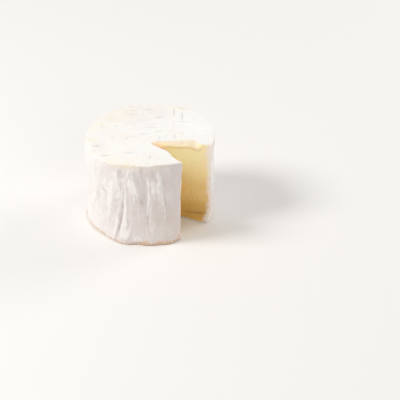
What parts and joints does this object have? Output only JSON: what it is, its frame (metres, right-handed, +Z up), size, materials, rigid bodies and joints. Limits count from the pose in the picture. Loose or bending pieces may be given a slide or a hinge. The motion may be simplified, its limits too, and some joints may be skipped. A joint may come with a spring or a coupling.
{
  "type": "triple-cream cheese",
  "caption": "Tall round soft cheese with a white bloomy rind and one wedge cut out, showing its pale paste; stands on its flat underside.",
  "frame": {"origin": "on the wheel's upright axis, at the flat underside it rests on", "axes": "+Z up along the wheel's axis; +X to the right and +Y away from the viewer in the picture; the cut opens towards +X and -Y"},
  "size_m": [0.0803, 0.083, 0.0553],
  "materials": {
    "rind": "dry, matt white bloom over a pale ivory paste"
  },
  "bodies": {
    "root": {"cheese": "rind"}
  },
  "joints": []
}
